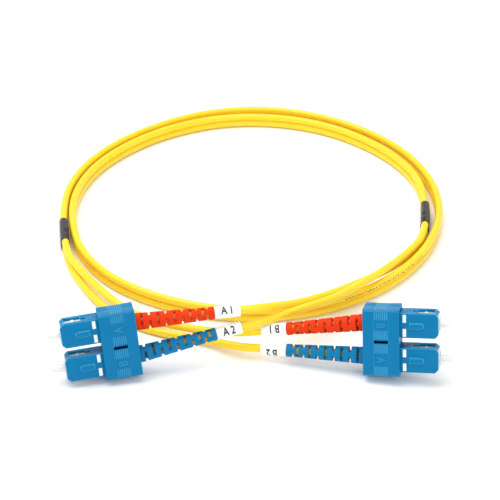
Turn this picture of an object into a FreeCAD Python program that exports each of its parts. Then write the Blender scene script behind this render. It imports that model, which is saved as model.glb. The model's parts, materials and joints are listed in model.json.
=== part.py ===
"""Duplex fibre optic patch cord: two twin push-pull plugs on a short figure-eight cord, laid in a loose loop.

Each twin plug is built in a frame of its own: X runs along the plug towards its nose, with zero at the
nose side of the clip, Y points away from the key side, and Z runs across the pair. The placements then
stand both twin plugs on the table, with the loop of cord behind them. Sizes are in millimetres.
"""
import FreeCAD, Part
import math
import os
import Sketcher
from FreeCAD import Placement, Rotation, Vector

doc = FreeCAD.newDocument("PatchCord")

DRIVING = [
    # the sliding grip of one plug
    ("gripWidth", 9.0, "grip, across the pair"),
    ("gripThick", 7.4, "grip, key face to back"),
    ("gripNose", 13.6, "nose in front of the clip"),
    ("gripTail", 11.0, "grip inside the clip"),
    ("gripWaist", 8.4, "grip across the pair, inside the clip"),
    ("gripChamfer", 1.2, "corners of the nose"),
    ("keyWide", 2.0, "key rib, width"),
    ("keyProud", 0.8, "key rib, height"),
    ("keyRear", 3.5, "clip to the rear end of the key"),
    ("keyLong", 5.0, "key rib, length"),
    ("windowWide", 4.4, "latch window, width"),
    ("windowNose", 1.6, "nose to the latch window"),
    ("windowLong", 5.9, "latch window, length"),
    ("slotWide", 2.2, "narrow slot behind the window, width"),
    ("slotLong", 2.0, "narrow slot behind the window, length"),
    ("rampDeep", 0.6, "entry ramp, depth at the nose"),
    # the plug frame inside it
    ("frameWidth", 6.8, "plug frame, across the pair"),
    ("frameThick", 5.8, "plug frame, key face to back"),
    ("frameProud", 0.3, "plug frame in front of the grip"),
    ("frameTail", 6.0, "plug frame behind the clip's nose side"),
    ("frameChamfer", 0.7, "corners of the plug frame's nose"),
    ("slideGap", 0.1, "running clearance of the grip, each side"),
    ("lugNose", 3.8, "grip nose to the front of the latch lug"),
    ("lugLong", 1.3, "latch lug, length"),
    ("lugWide", 3.6, "latch lug, width"),
    ("lugProud", 0.45, "latch lug, height"),
    ("reliefLong", 1.6, "recess before and behind the lug, length"),
    ("reliefDeep", 0.65, "that recess, depth"),
    ("mouthBore", 5.1, "mouth round the ferrule, bore"),
    ("mouthDeep", 2.6, "mouth round the ferrule, depth"),
    ("bulkheadThick", 0.8, "wall that the ferrule's collar seats on"),
    ("ferruleGap", 0.15, "clearance of the ferrule in that wall"),
    ("chamberBore", 5.2, "spring chamber, bore"),
    # ferrule, its flange and the spring
    ("ferruleBore", 2.5, "ferrule, diameter"),
    ("ferruleLong", 10.5, "ferrule, length"),
    ("ferruleOut", 5.2, "ferrule tip in front of the grip"),
    ("ferruleBevel", 0.3, "bevel round the ferrule's tip"),
    ("fitGap", 0.05, "clearance of fitted pieces, each side"),
    ("collarBore", 4.6, "flange collar, diameter"),
    ("collarLong", 2.0, "flange collar, length"),
    ("stemBore", 3.2, "flange stem, diameter"),
    ("stemLong", 4.0, "flange stem behind the collar"),
    ("fibreBore", 1.1, "bore for the buffered fibre"),
    ("springMean", 4.0, "spring, mean diameter"),
    ("springWire", 0.4, "spring, wire"),
    ("springTurns", 4.0, "spring, working turns"),
    # rear body, crimp ring, boot and cap
    ("spigotBore", 5.0, "rear body inside the plug frame, diameter"),
    ("spigotNose", 2.5, "front end of the rear body"),
    ("spigotCup", 3.8, "counterbore for the flange stem"),
    ("spigotCupDeep", 3.0, "depth of that counterbore"),
    ("shoulderBore", 5.7, "shoulder behind the plug frame, diameter"),
    ("shoulderLong", 1.2, "shoulder, length"),
    ("barrelBore", 3.4, "crimp barrel, diameter"),
    ("barrelEnd", 13.0, "rear end of the crimp barrel"),
    ("barrelGroove", 0.15, "grip grooves of the barrel, depth"),
    ("crimpWall", 0.35, "crimp ring, wall"),
    ("crimpStart", 7.5, "front end of the crimp ring"),
    ("bootPivot", 10.8, "point that the boot tilts about"),
    ("bootFront", 2.2, "boot in front of that point"),
    ("bootTail", 30.4, "boot behind that point"),
    ("bootBase", 6.2, "boot, diameter at its base"),
    ("bootTip", 4.5, "boot, diameter at its tip"),
    ("bootNeck", 5.5, "boot inside the clip, diameter"),
    ("bootNeckEnd", 2.2, "rear end of that neck, behind the pivot"),
    ("bootStraight", 3.2, "boot behind the pivot that has no taper"),
    ("bootSocket", 4.9, "boot, bore over the crimp ring"),
    ("bootSocketEnd", 2.6, "that bore behind the pivot"),
    ("bootBore", 3.5, "boot, bore over the cord"),
    ("collarTipLong", 1.4, "rim at the boot's tip, length"),
    ("collarTipProud", 0.12, "rim at the boot's tip, height"),
    ("bootSlot", 1.0, "relief slots, width"),
    ("bootWeb", 1.8, "width of the webs that the slots leave"),
    ("bootSlotCut", 0.3, "cut corners at the bottom of each slot"),
    ("bootFirst", 4.35, "pivot to the first slot"),
    ("bootPitch", 2.95, "pitch of the slots"),
    ("bootCrowd", 0.175, "how fast the slots crowd near the tip"),
    ("capOuter", 4.6, "dust cap, diameter"),
    ("capLong", 7.0, "dust cap, length"),
    ("capEnd", 0.7, "dust cap, closed end"),
    # the two-part clip that pairs the plugs
    ("pairPitch", 12.7, "pitch of the two plugs"),
    ("clipLong", 12.9, "clip, along the plugs"),
    ("clipThick", 10.5, "clip, key face to back"),
    ("clipWide", 24.4, "clip, across the pair"),
    ("clipLip", 1.8, "rear wall of the clip"),
    ("clipHole", 7.6, "holes for the boots"),
    ("clipEdge", 0.5, "edge chamfer of the clip"),
    ("latchShift", 0.5, "latch slot off the clip's middle"),
    ("latchLong", 5.0, "latch slot, length"),
    ("latchWide", 1.2, "latch slot, width"),
    ("latchGap", 0.15, "clearance of the latch tongue"),
    ("latchReach", 3.2, "latch tongue, length"),
    ("latchBarb", 0.35, "barb of the latch tongue"),
    ("latchBarbLong", 0.9, "barb of the latch tongue, length"),
    ("grooveWide", 0.35, "finger grooves, width"),
    ("groovePitch", 0.7, "finger grooves, pitch"),
    ("grooveDeep", 0.36, "finger grooves, depth"),
    ("bandWide", 5.2, "sunk band that carries the grooves, width"),
    ("bandDeep", 0.12, "sunk band, depth"),
    ("grooveOuter", 3.1, "outer groove group, length"),
    ("grooveInner", 3.2, "inner groove group, length"),
    ("grooveClear", 0.3, "groove group to the latch slot"),
    # cord, marker sleeves and split sleeves
    ("cordBore", 3.0, "one lobe of the cord, diameter"),
    ("lobePitch", 3.2, "pitch of the two lobes"),
    ("webThick", 0.7, "web between the lobes"),
    ("legStart", 0.25, "gap between barrel and cord"),
    ("legStraight", 46.75, "cord held straight by boot and marker"),
    ("markerOuter", 4.5, "marker sleeve, diameter"),
    ("markerLong", 9.3, "marker sleeve, length"),
    ("markerGap", 0.2, "boot tip to the marker sleeve"),
    ("splitLong", 18.0, "split sleeve, length"),
    ("splitWall", 0.3, "split sleeve, wall"),
]

sheet = doc.addObject("Spreadsheet::Sheet", "Sizes")
for row, (alias, value, note) in enumerate(DRIVING, start=1):
    sheet.set("A%d" % row, alias)
    sheet.set("B%d" % row, str(value))
    sheet.set("C%d" % row, note)
    sheet.setAlias("B%d" % row, alias)
doc.recompute()


def size(alias):
    """Read one size from the sheet, for the few shapes that are made in code."""
    return float(sheet.get(alias))


# where each twin plug stands: middle of its clip on the table, then its turn, nose lift and backward lean
ENDS = {
    "a": dict(spot=(-46.56, -0.33), turn=11.9, nose=-3.4, lean=-13.7, flip=180.0),
    "b": dict(spot=(47.04, 0.47), turn=-11.4, nose=-5.4, lean=-16.6, flip=0.0),
}
# side of the pair, how far the boot drops to its twin, how far it sways back, and its roll, in degrees;
# how far the dust cap is drawn off, in mm
PLUGS = {
    "a1": dict(end="a", side=-1, drop=3.2, sway=0.0, roll=41.0, capOut=0.0),
    "a2": dict(end="a", side=1, drop=5.6, sway=0.0, roll=-40.0, capOut=0.0),
    "b1": dict(end="b", side=1, drop=7.3, sway=1.5, roll=22.0, capOut=1.5),
    "b2": dict(end="b", side=-1, drop=1.9, sway=0.0, roll=-16.0, capOut=0.0),
}

# formulas for stations along a plug that several pieces share
NOSE = "Sizes.gripNose"
FRAME_NOSE = "(Sizes.gripNose + Sizes.frameProud)"
BULK_FRONT = "(%s - Sizes.mouthDeep)" % FRAME_NOSE
BULK_REAR = "(%s - Sizes.bulkheadThick)" % BULK_FRONT
TIP = "(Sizes.gripNose + Sizes.ferruleOut)"
COLLAR_FRONT = "(%s - Sizes.fitGap)" % BULK_REAR
COLLAR_REAR = "(%s - Sizes.collarLong)" % COLLAR_FRONT
SHOULDER_FRONT = "(-Sizes.frameTail - Sizes.fitGap)"
SHOULDER_REAR = "(%s - Sizes.shoulderLong)" % SHOULDER_FRONT
RIM_FRONT = "(-Sizes.bootTail + Sizes.collarTipLong)"


def addBody(name):
    body = doc.addObject("PartDesign::Body", name)
    body.Label = name
    return body


def addSketch(body, name, role, outlines, lift="0"):
    """Draw closed outlines on an origin plane; each corner is a pair of formulas that pin it to the origin."""
    sketch = body.newObject("Sketcher::SketchObject", name)
    plane = next(item for item in body.Origin.OriginFeatures if item.Role == role)
    sketch.AttachmentSupport = [(plane, "")]
    sketch.MapMode = "FlatFace"
    sketch.setExpression(".AttachmentOffset.Base.z", lift)
    first = 0
    for corners in outlines:
        count = len(corners)
        # the corners start on a rough ring, and the formulas pull each one to its place
        ring = [Vector(10 * math.cos(2 * math.pi * i / count), 10 * math.sin(2 * math.pi * i / count), 0)
                for i in range(count)]
        for i in range(count):
            sketch.addGeometry(Part.LineSegment(ring[i], ring[(i + 1) % count]), False)
        for i in range(count):
            following = first + (i + 1) % count
            sketch.addConstraint(Sketcher.Constraint("Coincident", first + i, 2, following, 1))
        for i, (across, up) in enumerate(corners):
            for kind, start, formula in (("DistanceX", ring[i].x, across), ("DistanceY", ring[i].y, up)):
                number = sketch.addConstraint(Sketcher.Constraint(kind, -1, 1, first + i, 1, start))
                sketch.setExpression("Constraints[%d]" % number, formula)
        first += count
    return sketch


def addPad(body, name, sketch, length, symmetric=False):
    pad = body.newObject("PartDesign::Pad", name)
    pad.Profile = sketch
    pad.SideType = "Symmetric" if symmetric else "One side"
    pad.setExpression("Length", length)
    return pad


def addPocket(body, name, sketch, length, symmetric=False, towardsNormal=False):
    pocket = body.newObject("PartDesign::Pocket", name)
    pocket.Profile = sketch
    pocket.SideType = "Symmetric" if symmetric else "One side"
    pocket.Reversed = towardsNormal
    pocket.setExpression("Length", length)
    return pocket


def addTurned(body, name, corners):
    """Turn a profile (station along the plug, radius) about the plug's axis."""
    sketch = addSketch(body, name + "_profile", "XY_Plane", [corners])
    turned = body.newObject("PartDesign::Revolution", name)
    turned.Profile = sketch
    turned.ReferenceAxis = (sketch, ["H_Axis"])
    turned.Angle = 360
    return turned


def addTurnedCut(body, name, corners):
    sketch = addSketch(body, name + "_profile", "XY_Plane", [corners])
    cut = body.newObject("PartDesign::Groove", name)
    cut.Profile = sketch
    cut.ReferenceAxis = (sketch, ["H_Axis"])
    cut.Angle = 360
    return cut


def rectangle(left, right, bottom, top):
    return [(left, bottom), (right, bottom), (right, top), (left, top)]


def mirrored(corners):
    """Complete an outline given by its upper half, from the rear to the nose."""
    return corners + [(along, "-(%s)" % up) for along, up in reversed(corners)]


def gripSleeve(name):
    """Outer housing that slides on the plug frame, with its key, latch windows and entry ramps."""
    body = addBody(name)
    shoulder = "Sizes.fitGap"
    shell = addSketch(body, name + "_outline", "XZ_Plane", [mirrored([
        ("-Sizes.gripTail", "Sizes.gripWaist / 2"),
        (shoulder, "Sizes.gripWaist / 2"),
        (shoulder, "Sizes.gripWidth / 2"),
        (NOSE + " - Sizes.gripChamfer", "Sizes.gripWidth / 2"),
        (NOSE, "Sizes.gripWidth / 2 - Sizes.gripChamfer")])])
    addPad(body, name + "_shell", shell, "Sizes.gripThick", symmetric=True)
    key = addSketch(body, name + "_keyOutline", "XZ_Plane", [mirrored([
        ("Sizes.keyRear", "Sizes.keyWide / 2"),
        ("Sizes.keyRear + Sizes.keyLong - Sizes.keyWide / 2", "Sizes.keyWide / 2"),
        ("Sizes.keyRear + Sizes.keyLong - Sizes.keyWide * 0.15", "Sizes.keyWide * 0.35"),
        ("Sizes.keyRear + Sizes.keyLong", "Sizes.keyWide * 0.12")])], "Sizes.gripThick / 2")
    addPad(body, name + "_key", key, "Sizes.keyProud")
    bore = addSketch(body, name + "_boreOutline", "YZ_Plane", [rectangle(
        "-Sizes.frameThick / 2 - Sizes.slideGap", "Sizes.frameThick / 2 + Sizes.slideGap",
        "-Sizes.frameWidth / 2 - Sizes.slideGap", "Sizes.frameWidth / 2 + Sizes.slideGap")])
    addPocket(body, name + "_bore", bore, "2 * (Sizes.gripNose + Sizes.gripTail)", symmetric=True)
    windowFront = NOSE + " - Sizes.windowNose"
    windowRear = windowFront + " - Sizes.windowLong"
    window = addSketch(body, name + "_windowOutline", "XY_Plane", [[
        (windowFront, "Sizes.windowWide / 2"), (windowRear, "Sizes.windowWide / 2"),
        (windowRear, "Sizes.slotWide / 2"), (windowRear + " - Sizes.slotLong", "Sizes.slotWide / 2"),
        (windowRear + " - Sizes.slotLong", "-Sizes.slotWide / 2"), (windowRear, "-Sizes.slotWide / 2"),
        (windowRear, "-Sizes.windowWide / 2"), (windowFront, "-Sizes.windowWide / 2")]])
    addPocket(body, name + "_windows", window, "2 * Sizes.gripWidth", symmetric=True)
    ramp = [(windowFront, "Sizes.gripWidth / 2 - Sizes.rampDeep / 3"),
            (NOSE + " + 1", "Sizes.gripWidth / 2 - Sizes.gripChamfer"),
            (NOSE + " + 1", "Sizes.gripWidth / 2 + 1"), (windowFront, "Sizes.gripWidth / 2 + 1")]
    other = [(along, "-(%s)" % up) for along, up in ramp]
    ramps = addSketch(body, name + "_rampOutline", "XZ_Plane", [ramp, other])
    addPocket(body, name + "_ramps", ramps, "Sizes.windowWide", symmetric=True)
    return body


def plugFrame(name):
    """Inner housing that the ferrule and spring sit in; its lugs latch in the coupling."""
    body = addBody(name)
    outline = addSketch(body, name + "_outline", "XZ_Plane", [mirrored([
        ("-Sizes.frameTail", "Sizes.frameWidth / 2"),
        (FRAME_NOSE + " - Sizes.frameChamfer", "Sizes.frameWidth / 2"),
        (FRAME_NOSE, "Sizes.frameWidth / 2 - Sizes.frameChamfer")])])
    addPad(body, name + "_block", outline, "Sizes.frameThick", symmetric=True)
    front = NOSE + " - Sizes.lugNose"
    rear = front + " - Sizes.lugLong"
    lugs = addSketch(body, name + "_lugOutline", "XZ_Plane", [mirrored([
        (rear, "Sizes.frameWidth / 2 + Sizes.lugProud"),
        (front + " - Sizes.lugLong / 2", "Sizes.frameWidth / 2 + Sizes.lugProud"),
        (front, "Sizes.frameWidth / 2")])])
    addPad(body, name + "_lugs", lugs, "Sizes.lugWide", symmetric=True)
    recesses = []
    for side in ("-", ""):
        for inner, outer in ((front + " + 0.1", front + " + 0.1 + Sizes.reliefLong"),
                             (rear + " - 0.1 - Sizes.reliefLong", rear + " - 0.1")):
            recesses.append(rectangle(inner, outer, side + "(Sizes.frameWidth / 2 - Sizes.reliefDeep)",
                                      side + "(Sizes.frameWidth / 2 + 1)"))
    relief = addSketch(body, name + "_reliefOutline", "XZ_Plane", recesses)
    addPocket(body, name + "_relief", relief, "Sizes.lugWide", symmetric=True)
    addTurnedCut(body, name + "_bores", [
        ("-Sizes.frameTail - 1", "0"), ("-Sizes.frameTail - 1", "Sizes.chamberBore / 2"),
        (BULK_REAR, "Sizes.chamberBore / 2"), (BULK_REAR, "Sizes.ferruleBore / 2 + Sizes.ferruleGap"),
        (BULK_FRONT, "Sizes.ferruleBore / 2 + Sizes.ferruleGap"), (BULK_FRONT, "Sizes.mouthBore / 2"),
        (FRAME_NOSE + " + 1", "Sizes.mouthBore / 2"), (FRAME_NOSE + " + 1", "0")])
    return body


def ferrule(name):
    body = addBody(name)
    addTurned(body, name + "_rod", [
        (TIP + " - Sizes.ferruleLong", "0"), (TIP, "0"), (TIP, "Sizes.ferruleBore / 2 - Sizes.ferruleBevel"),
        (TIP + " - Sizes.ferruleBevel", "Sizes.ferruleBore / 2"),
        (TIP + " - Sizes.ferruleLong", "Sizes.ferruleBore / 2")])
    return body


def ferruleFlange(name):
    """Metal collar that the ferrule is bonded into, with the stem that guides the spring."""
    body = addBody(name)
    seat = TIP + " - Sizes.ferruleLong - Sizes.fitGap"
    addTurned(body, name + "_turned", [
        (COLLAR_FRONT, "Sizes.ferruleBore / 2 + Sizes.fitGap"), (COLLAR_FRONT, "Sizes.collarBore / 2"),
        (COLLAR_REAR, "Sizes.collarBore / 2"), (COLLAR_REAR, "Sizes.stemBore / 2"),
        (COLLAR_REAR + " - Sizes.stemLong", "Sizes.stemBore / 2"),
        (COLLAR_REAR + " - Sizes.stemLong", "Sizes.fibreBore / 2"),
        (seat, "Sizes.fibreBore / 2"), (seat, "Sizes.ferruleBore / 2 + Sizes.fitGap")])
    return body


def rearBody(name):
    """Stop that closes the spring chamber; the strength yarn is crimped on its barrel."""
    body = addBody(name)
    addTurned(body, name + "_turned", [
        ("Sizes.spigotNose", "Sizes.spigotCup / 2"), ("Sizes.spigotNose", "Sizes.spigotBore / 2"),
        (SHOULDER_FRONT, "Sizes.spigotBore / 2"), (SHOULDER_FRONT, "Sizes.shoulderBore / 2"),
        (SHOULDER_REAR, "Sizes.shoulderBore / 2"), (SHOULDER_REAR, "Sizes.barrelBore / 2"),
        ("-Sizes.barrelEnd", "Sizes.barrelBore / 2"), ("-Sizes.barrelEnd", "Sizes.fibreBore / 2"),
        ("Sizes.spigotNose - Sizes.spigotCupDeep", "Sizes.fibreBore / 2"),
        ("Sizes.spigotNose - Sizes.spigotCupDeep", "Sizes.spigotCup / 2")])
    middle = "(-Sizes.crimpStart - Sizes.barrelEnd) / 2"
    inner = "Sizes.barrelBore / 2 - Sizes.barrelGroove"
    addTurnedCut(body, name + "_groove", [
        (middle + " - 0.5", inner), (middle + " + 0.5", inner),
        (middle + " + 0.5", "Sizes.barrelBore / 2 + 1"), (middle + " - 0.5", "Sizes.barrelBore / 2 + 1")])
    return body


def crimpRing(name):
    body = addBody(name)
    inner = "Sizes.barrelBore / 2 + Sizes.fitGap"
    outer = inner + " + Sizes.crimpWall"
    addTurned(body, name + "_tube", [
        ("-Sizes.barrelEnd", inner), ("-Sizes.crimpStart", inner),
        ("-Sizes.crimpStart", outer), ("-Sizes.barrelEnd", outer)])
    return body


def dustCap(name):
    """Blind sleeve pushed over the bare ferrule."""
    body = addBody(name)
    end = TIP + " + Sizes.fitGap + Sizes.capEnd"
    inner = "Sizes.ferruleBore / 2 + Sizes.fitGap"
    addTurned(body, name + "_cup", [
        (end + " - Sizes.capLong", inner), (end + " - Sizes.capEnd", inner), (end + " - Sizes.capEnd", "0"),
        (end, "0"), (end, "Sizes.capOuter / 2 - Sizes.ferruleBevel"),
        (end + " - Sizes.ferruleBevel", "Sizes.capOuter / 2"), (end + " - Sizes.capLong", "Sizes.capOuter / 2")])
    return body


def boot(name):
    """Tapered strain relief; slots from both sides, turned a quarter from ring to ring, leave two webs each."""
    body = addBody(name)
    rim = "Sizes.bootTip / 2 + Sizes.collarTipProud"
    addTurned(body, name + "_cone", [
        ("Sizes.bootFront", "Sizes.bootSocket / 2"), ("Sizes.bootFront", "Sizes.bootNeck / 2"),
        ("-Sizes.bootNeckEnd", "Sizes.bootNeck / 2"), ("-Sizes.bootNeckEnd", "Sizes.bootBase / 2"),
        ("-Sizes.bootStraight", "Sizes.bootBase / 2"), (RIM_FRONT, "Sizes.bootTip / 2"), (RIM_FRONT, rim),
        ("-Sizes.bootTail", rim), ("-Sizes.bootTail", "Sizes.cordBore / 2 + 2 * Sizes.fitGap"),
        (RIM_FRONT, "Sizes.bootBore / 2"), ("-Sizes.bootSocketEnd", "Sizes.bootBore / 2"),
        ("-Sizes.bootSocketEnd", "Sizes.bootSocket / 2")])
    rings = ([], [])
    for i in range(10):
        crowd = max(0, i - 5) ** 2
        along = "-(Sizes.bootFirst + %d * Sizes.bootPitch - %d * Sizes.bootCrowd)" % (i, crowd)
        front, rear = along + " + Sizes.bootSlot / 2", along + " - Sizes.bootSlot / 2"
        for side in ("-", ""):
            bottom, corner = side + "Sizes.bootWeb / 2", side + "(Sizes.bootWeb / 2 + Sizes.bootSlotCut)"
            rings[i % 2].append([
                (rear, side + "Sizes.bootBase"), (rear, corner), (rear + " + Sizes.bootSlotCut", bottom),
                (front + " - Sizes.bootSlotCut", bottom), (front, corner), (front, side + "Sizes.bootBase")])
    for plane, outlines in (("XY_Plane", rings[0]), ("XZ_Plane", rings[1])):
        slots = addSketch(body, "%s_slots%s" % (name, plane[:2]), plane, outlines)
        addPocket(body, "%s_relief%s" % (name, plane[:2]), slots, "2 * Sizes.bootBase", symmetric=True)
    return body


def marker(name):
    body = addBody(name)
    start = "(-Sizes.bootTail - Sizes.markerGap)"
    inner = "Sizes.cordBore / 2 + 2 * Sizes.fitGap"
    addTurned(body, name + "_tube", [
        (start, inner), (start, "Sizes.markerOuter / 2"),
        (start + " - Sizes.markerLong", "Sizes.markerOuter / 2"), (start + " - Sizes.markerLong", inner)])
    return body


def clipHalf(name, front):
    """One half of the clip. The key half has the grooved band and the latch slot, the other the tongue."""
    body = addBody(name)
    block = addSketch(body, name + "_outline", "YZ_Plane", [[
        ("0", "-Sizes.clipWide / 2"), ("Sizes.clipThick / 2 - Sizes.clipEdge", "-Sizes.clipWide / 2"),
        ("Sizes.clipThick / 2", "-Sizes.clipWide / 2 + Sizes.clipEdge"),
        ("Sizes.clipThick / 2", "Sizes.clipWide / 2 - Sizes.clipEdge"),
        ("Sizes.clipThick / 2 - Sizes.clipEdge", "Sizes.clipWide / 2"), ("0", "Sizes.clipWide / 2")]]
        if not front else [[
            ("0", "-Sizes.clipWide / 2"), ("-Sizes.clipThick / 2 + Sizes.clipEdge", "-Sizes.clipWide / 2"),
            ("-Sizes.clipThick / 2", "-Sizes.clipWide / 2 + Sizes.clipEdge"),
            ("-Sizes.clipThick / 2", "Sizes.clipWide / 2 - Sizes.clipEdge"),
            ("-Sizes.clipThick / 2 + Sizes.clipEdge", "Sizes.clipWide / 2"), ("0", "Sizes.clipWide / 2")]],
        "-Sizes.clipLong")
    addPad(body, name + "_block", block, "Sizes.clipLong")
    sign = "-" if front else ""
    bays = []
    for side in ("-", ""):
        middle = side + "Sizes.pairPitch / 2"
        bays.append(rectangle("0", sign + "(Sizes.gripThick / 2 + Sizes.fitGap)",
                              middle + " - Sizes.gripWaist / 2 - Sizes.fitGap",
                              middle + " + Sizes.gripWaist / 2 + Sizes.fitGap"))
    bay = addSketch(body, name + "_bayOutline", "YZ_Plane", bays)
    addPocket(body, name + "_bays", bay, "Sizes.clipLong - Sizes.clipLip")
    holes = []
    for side in ("-", ""):
        corners = []
        for step in range(13):
            angle = 15 * step
            corners.append(("%sSizes.clipHole / 2 * sin(%d)" % (sign, angle),
                            "%sSizes.pairPitch / 2 + Sizes.clipHole / 2 * cos(%d)" % (side, angle)))
        holes.append(corners)
    hole = addSketch(body, name + "_holeOutline", "YZ_Plane", holes)
    addPocket(body, name + "_holes", hole, "2 * Sizes.clipLong", symmetric=True)
    middle = "-Sizes.clipLong / 2"
    slot = rectangle(middle + " - Sizes.latchLong / 2", middle + " + Sizes.latchLong / 2",
                     "Sizes.latchShift - Sizes.latchWide / 2", "Sizes.latchShift + Sizes.latchWide / 2")
    if front:
        slotOutline = addSketch(body, name + "_slotOutline", "XZ_Plane", [slot])
        addPocket(body, name + "_slot", slotOutline, "Sizes.clipThick", towardsNormal=True)
        ledge = rectangle(middle + " - Sizes.latchLong / 2", middle + " + Sizes.latchLong / 2",
                          "Sizes.latchShift", "Sizes.latchShift + Sizes.latchWide / 2 + Sizes.latchBarb")
        undercut = addSketch(body, name + "_undercutOutline", "XZ_Plane", [ledge],
                             "Sizes.latchReach - Sizes.latchBarbLong - Sizes.latchGap")
        addPocket(body, name + "_undercut", undercut, "Sizes.latchBarbLong + 2 * Sizes.latchGap",
                  towardsNormal=True)
    else:
        tongue = rectangle(middle + " - Sizes.latchLong / 2 + Sizes.latchGap",
                           middle + " + Sizes.latchLong / 2 - Sizes.latchGap",
                           "Sizes.latchShift - Sizes.latchWide / 2 + Sizes.latchGap",
                           "Sizes.latchShift + Sizes.latchWide / 2 - Sizes.latchGap")
        tongueOutline = addSketch(body, name + "_tongueOutline", "XZ_Plane", [tongue])
        addPad(body, name + "_tongue", tongueOutline, "Sizes.latchReach")
        barb = rectangle(middle + " - Sizes.latchLong / 2 + Sizes.latchGap",
                         middle + " + Sizes.latchLong / 2 - Sizes.latchGap",
                         "Sizes.latchShift",
                         "Sizes.latchShift + Sizes.latchWide / 2 - Sizes.latchGap + Sizes.latchBarb")
        barbOutline = addSketch(body, name + "_barbOutline", "XZ_Plane", [barb],
                                "Sizes.latchReach - Sizes.latchBarbLong")
        addPad(body, name + "_barb", barbOutline, "Sizes.latchBarbLong")
    first = middle + " - 3 * Sizes.groovePitch - Sizes.grooveWide / 2"
    last = middle + " - 3 * Sizes.groovePitch + Sizes.grooveWide / 2"
    if front:
        below = "Sizes.latchShift - Sizes.latchWide / 2 - Sizes.grooveClear"
        above = "Sizes.latchShift + Sizes.latchWide / 2 + Sizes.grooveClear"
        edge = "Sizes.clipWide / 2 - Sizes.clipEdge"
        groups = [("-(%s)" % edge, "-(%s) + Sizes.grooveOuter" % edge),
                  (below + " - Sizes.grooveInner", below), (above, above + " + Sizes.grooveInner"),
                  (edge + " - Sizes.grooveOuter", edge)]
        strip = rectangle(middle + " - Sizes.bandWide / 2", middle + " + Sizes.bandWide / 2",
                          "-Sizes.clipWide / 2", "Sizes.clipWide / 2")
        stripOutline = addSketch(body, name + "_stripOutline", "XZ_Plane", [strip],
                                 "Sizes.clipThick / 2 - Sizes.bandDeep")
        addPocket(body, name + "_strip", stripOutline, "Sizes.bandDeep + 1", towardsNormal=True)
        bandOutline = addSketch(body, name + "_bandOutline", "XZ_Plane",
                                [rectangle(first, last, low, high) for low, high in groups],
                                "Sizes.clipThick / 2 - Sizes.grooveDeep")
        addPattern(body, name + "_band", addPocket(body, name + "_bandGroove", bandOutline,
                                                   "Sizes.grooveDeep + 1", towardsNormal=True), bandOutline)
    rim = sign + "(Sizes.clipThick / 2 - Sizes.clipEdge)"
    for label, side, reverse in (("Top", "", True), ("Foot", "-", False)):
        lift = side + "(Sizes.clipWide / 2 - Sizes.grooveDeep)"
        bandLift = side + "(Sizes.clipWide / 2 - Sizes.bandDeep)"
        stripEnd = addSketch(body, "%s_strip%sOutline" % (name, label), "XY_Plane",
                             [rectangle(middle + " - Sizes.bandWide / 2", middle + " + Sizes.bandWide / 2",
                                        "0", sign + "(Sizes.clipThick / 2 + 1)")], bandLift)
        addPocket(body, "%s_strip%s" % (name, label), stripEnd, "Sizes.bandDeep + 1", towardsNormal=reverse)
        endOutline = addSketch(body, "%s_end%sOutline" % (name, label), "XY_Plane",
                               [rectangle(first, last, "0", rim)], lift)
        groove = addPocket(body, "%s_end%sGroove" % (name, label), endOutline, "Sizes.grooveDeep + 1",
                           towardsNormal=reverse)
        addPattern(body, "%s_end%s" % (name, label), groove, endOutline)
    return body


def addPattern(body, name, feature, sketch):
    """Repeat a groove seven times along the clip."""
    pattern = body.newObject("PartDesign::LinearPattern", name)
    pattern.Originals = [feature]
    pattern.Direction = (sketch, ["H_Axis"])
    pattern.Occurrences = 7
    pattern.setExpression("Length", "6 * Sizes.groovePitch")
    body.Tip = pattern
    return pattern


def springEnds():
    """Stations of the spring's rear and front end: the rear body and the flange's collar."""
    bulkRear = size("gripNose") + size("frameProud") - size("mouthDeep") - size("bulkheadThick")
    front = bulkRear - 2 * size("fitGap") - size("collarLong") - size("springWire") / 2
    return size("spigotNose") + size("fitGap") + size("springWire") / 2, front


def spring(name):
    """Open coil, drawn upright; it is laid on the plug's axis when the plug is put together."""
    rear, front = springEnds()
    helix = Part.makeLongHelix((front - rear) / size("springTurns"), front - rear, size("springMean") / 2)
    start = Vector(size("springMean") / 2, 0, 0)
    rise = Vector(0, size("springMean") * math.pi, (front - rear) / size("springTurns"))
    ring = Part.Wire([Part.makeCircle(size("springWire") / 2, start, rise)])
    feature = doc.addObject("Part::Feature", name)
    feature.Label = name
    feature.Shape = Part.Wire(helix.Edges).makePipeShell([ring], True, True)
    return feature


def plugPlacement(name):
    return Placement(Vector(0, 0, PLUGS[name]["side"] * size("pairPitch") / 2), Rotation())


def bootPlacement(name, roll=0.0):
    """The boot's axis leaves the plug's axis at the pivot, by the drop and the sway of that plug."""
    plug = PLUGS[name]
    tilt = Rotation(Vector(0, 0, 1), -plug["sway"]) * Rotation(Vector(0, 1, 0), -plug["side"] * plug["drop"])
    turn = tilt * Rotation(Vector(1, 0, 0), roll)
    return plugPlacement(name) * Placement(Vector(-size("bootPivot"), 0, 0), turn)


pieces = {"a": [], "b": []}
for plugName, plug in PLUGS.items():
    for maker, label in ((gripSleeve, "grip_sleeve"), (plugFrame, "plug_frame"), (ferrule, "ferrule"),
                         (ferruleFlange, "ferrule_flange"), (rearBody, "rear_body"), (crimpRing, "crimp_ring")):
        pieces[plug["end"]].append((maker("%s_%s" % (label, plugName)), plugPlacement(plugName)))
    laid = Placement(Vector(springEnds()[0], 0, 0), Rotation(Vector(0, 1, 0), 90))
    pieces[plug["end"]].append((spring("spring_" + plugName), plugPlacement(plugName) * laid))
    drawnOff = Placement(Vector(plug["capOut"], 0, 0), Rotation())
    pieces[plug["end"]].append((dustCap("dust_cap_" + plugName), plugPlacement(plugName) * drawnOff))
    pieces[plug["end"]].append((boot("boot_" + plugName), bootPlacement(plugName, plug["roll"])))
    pieces[plug["end"]].append((marker("marker_sleeve_" + plugName), bootPlacement(plugName)))
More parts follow.
